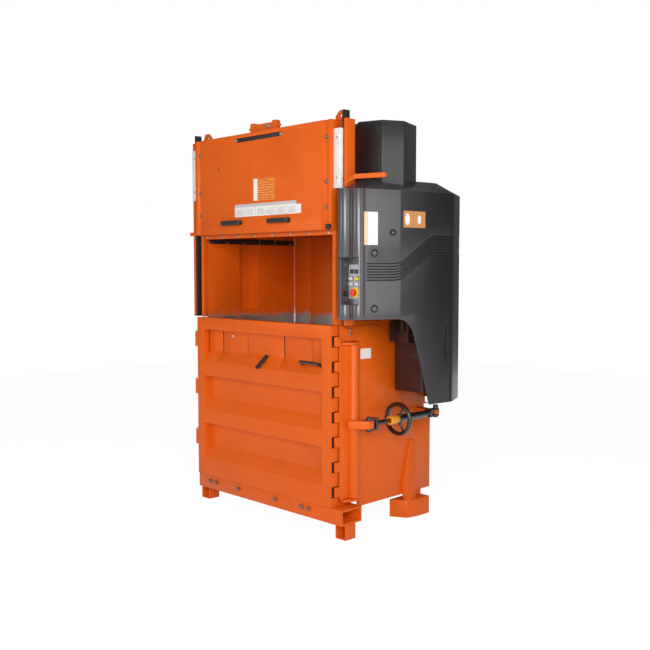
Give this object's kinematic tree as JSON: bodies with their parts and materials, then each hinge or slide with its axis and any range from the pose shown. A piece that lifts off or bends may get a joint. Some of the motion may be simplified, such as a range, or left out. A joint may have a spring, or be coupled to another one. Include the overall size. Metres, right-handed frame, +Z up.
{
  "type": "recycling baler",
  "caption": "Low-built vertical baler with a lifting feed gate above a swing door, crossed press rams, a handwheel claw lock and a moulded side hood with controls.",
  "frame": {"origin": "middle of the whole plan, on the floor", "axes": "+X to the machine's right with the hood, +Y to the back, +Z up"},
  "size_m": [1.842, 0.966, 2.485],
  "materials": {
    "orange_paint": "satin powder coat",
    "worn_steel": "bare, scuffed by waste",
    "black_steel": "satin black",
    "hood_plastic": "fine grain",
    "black_plastic": "moulded",
    "white_plastic": "machined",
    "zinc": "zinc plated",
    "chrome_rod": "hard chromed",
    "yellow_metal": "gloss",
    "yellow_plastic": "gloss",
    "red_plastic": "gloss",
    "grey_plastic": "film faced",
    "motor_grey": "cast and painted"
  },
  "bodies": {
    "frame": {"base_beams": "orange_paint", "front_feet": "orange_paint", "rear_legs": "orange_paint", "chamber_floor": "worn_steel", "strap_hooks": "zinc", "back_wall": "worn_steel", "back_ribs": "orange_paint", "side_wall_left": "orange_paint", "side_wall_right": "orange_paint", "wall_pockets": "orange_paint", "side_panel_left": "orange_paint", "side_panel_right": "orange_paint", "side_cheeks": "orange_paint", "side_bolts": "zinc", "posts": "orange_paint", "wear_strips": "black_plastic", "lintel": "orange_paint", "crown": "orange_paint", "lifting_lugs": "orange_paint", "ram_brackets": "orange_paint", "ram_covers": "black_steel", "hinge_brackets": "orange_paint", "hinge_pins": "zinc", "lock_brackets": "orange_paint", "hood": "hood_plastic", "hood_caps": "black_plastic", "control_tray": "black_plastic", "keypad": "grey_plastic", "stop_ring": "yellow_plastic", "oil_tank": "black_steel", "pump_motor": "motor_grey", "valve_block": "zinc"},
    "gate": {"gate_sheet": "orange_paint", "gate_strip": "black_plastic", "gate_grips": "black_plastic", "gate_shoes": "white_plastic", "gate_bolts": "zinc"},
    "door": {"door_frame": "orange_paint", "door_liner": "worn_steel", "door_hinges": "orange_paint", "door_handle": "black_steel"},
    "latch": {"latch_lever": "black_plastic"},
    "press": {"platen": "worn_steel", "platen_lugs": "orange_paint"},
    "barrel_left": {"ram_barrel_left": "black_steel"},
    "barrel_right": {"ram_barrel_right": "black_steel"},
    "rod_left": {"ram_rod_left": "chrome_rod"},
    "rod_right": {"ram_rod_right": "chrome_rod"},
    "claws": {"claw_plate": "orange_paint"},
    "lock_screw": {"lock_rod": "black_steel"},
    "lock_link": {"lock_fork": "black_steel"},
    "wheel": {"handwheel": "black_steel", "wheel_sleeve": "yellow_metal"},
    "key_lock": {"hood_lock": "zinc"},
    "knob": {"selector_knob": "black_plastic"},
    "stop_button": {"emergency_stop": "red_plastic"},
    "button_1_cap": {"button_1": "grey_plastic"},
    "button_2_cap": {"button_2": "grey_plastic"},
    "button_3_cap": {"button_3": "grey_plastic"},
    "button_4_cap": {"button_4": "yellow_plastic"}
  },
  "joints": [
    {"name": "gate_slide", "type": "slide", "parent": "frame", "child": "gate", "axis": [0, 0, -1], "range_m": [0, 0.54]},
    {"name": "door_hinge", "type": "hinge", "parent": "frame", "child": "door", "pos_m": [-0.71899, -0.423, 0.186], "axis": [0, 0, -1], "range_deg": [0, 110]},
    {"name": "latch_turn", "type": "hinge", "parent": "door", "child": "latch", "pos_m": [-0.02299, -0.4014, 1.01305], "axis": [0, 0.8173, -0.5762], "range_deg": [0, 45]},
    {"name": "platen_slide", "type": "slide", "parent": "frame", "child": "press", "axis": [0, 0, -1], "range_m": [0, 0.6]},
    {"name": "ram_pivot_right", "type": "hinge", "parent": "frame", "child": "barrel_right", "pos_m": [0.67501, -0.003, 2.36], "axis": [0, -1, 0], "range_deg": [0, 21.99]},
    {"name": "ram_pivot_left", "type": "hinge", "parent": "frame", "child": "barrel_left", "pos_m": [-0.79299, 0.139, 2.36], "axis": [0, 1, 0], "range_deg": [0, 21.99]},
    {"name": "ram_stroke_right", "type": "slide", "parent": "barrel_right", "child": "rod_right", "axis": [-0.9663, 0, -0.2574], "range_m": [0, 0.26711]},
    {"name": "ram_stroke_left", "type": "slide", "parent": "barrel_left", "child": "rod_left", "axis": [0.9663, 0, -0.2574], "range_m": [0, 0.26711]},
    {"name": "claw_swing", "type": "hinge", "parent": "frame", "child": "claws", "pos_m": [0.59901, -0.278, 0.226], "axis": [0, 0, 1], "range_deg": [0, 25.01]},
    {"name": "link_swing", "type": "hinge", "parent": "frame", "child": "lock_link", "pos_m": [0.70001, 0.379, 0.67], "axis": [0, 0, -1], "range_deg": [0, 2.13]},
    {"name": "screw_travel", "type": "slide", "parent": "lock_link", "child": "lock_screw", "axis": [0, 1, 0], "range_m": [0, 0.03967]},
    {"name": "handwheel_turn", "type": "hinge", "parent": "lock_link", "child": "wheel", "pos_m": [0.70001, 0.013, 0.67], "axis": [0, 1, 0], "range_deg": [0, 1260]},
    {"name": "key_turn", "type": "hinge", "parent": "frame", "child": "key_lock", "pos_m": [0.85565, -0.226, 1.78], "axis": [0.9356, -0.3531, 0], "range_deg": [0, 90]},
    {"name": "knob_turn", "type": "hinge", "parent": "frame", "child": "knob", "pos_m": [0.66401, -0.432, 1.437], "axis": [1, 0, 0], "range_deg": [-45, 45]},
    {"name": "stop_press", "type": "slide", "parent": "frame", "child": "stop_button", "axis": [0, 1, 0], "range_m": [0, 0.006]},
    {"name": "button_1_press", "type": "slide", "parent": "frame", "child": "button_1_cap", "axis": [0, 1, 0], "range_m": [0, 0.003], "stiffness_N_per_m": 400},
    {"name": "button_2_press", "type": "slide", "parent": "frame", "child": "button_2_cap", "axis": [0, 1, 0], "range_m": [0, 0.003], "stiffness_N_per_m": 400},
    {"name": "button_3_press", "type": "slide", "parent": "frame", "child": "button_3_cap", "axis": [0, 1, 0], "range_m": [0, 0.003], "stiffness_N_per_m": 400},
    {"name": "button_4_press", "type": "slide", "parent": "frame", "child": "button_4_cap", "axis": [0, 1, 0], "range_m": [0, 0.003], "stiffness_N_per_m": 400}
  ],
  "couplings": [
    {"joint": "ram_pivot_right", "follows": "platen_slide", "rad_per_m": 0.63931},
    {"joint": "ram_pivot_left", "follows": "platen_slide", "rad_per_m": 0.63931},
    {"joint": "ram_stroke_right", "follows": "platen_slide", "ratio": 0.44501},
    {"joint": "ram_stroke_left", "follows": "platen_slide", "ratio": 0.44501},
    {"joint": "claw_swing", "follows": "handwheel_turn", "ratio": 0.019841},
    {"joint": "link_swing", "follows": "handwheel_turn", "ratio": 0.0016788},
    {"joint": "screw_travel", "follows": "handwheel_turn", "m_per_rad": 0.0017992}
  ]
}
